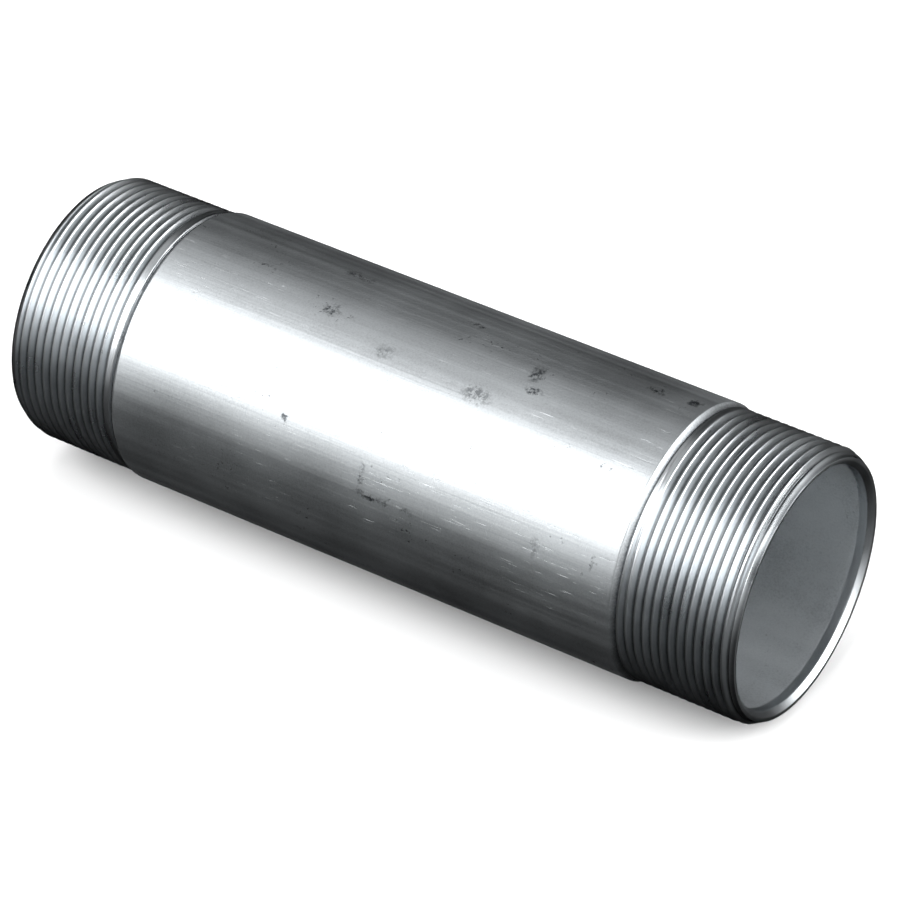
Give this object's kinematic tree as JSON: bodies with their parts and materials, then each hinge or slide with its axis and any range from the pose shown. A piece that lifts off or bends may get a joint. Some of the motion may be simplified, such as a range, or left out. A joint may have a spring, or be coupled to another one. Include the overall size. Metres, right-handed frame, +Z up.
{
  "type": "threaded pipe nipple",
  "caption": "Straight metal pipe nipple with a parallel male thread, a coned shoulder and a chamfered open mouth at each end.",
  "frame": {"origin": "middle of the pipe, on its axis", "axes": "+X along the pipe's axis towards one end, +Z up, the pipe lying on its side"},
  "size_m": [0.1778, 0.0604, 0.0603],
  "materials": {
    "pipe_metal": "satin mill finish with turned threads"
  },
  "bodies": {
    "root": {"pipe_nipple": "pipe_metal"}
  },
  "joints": []
}
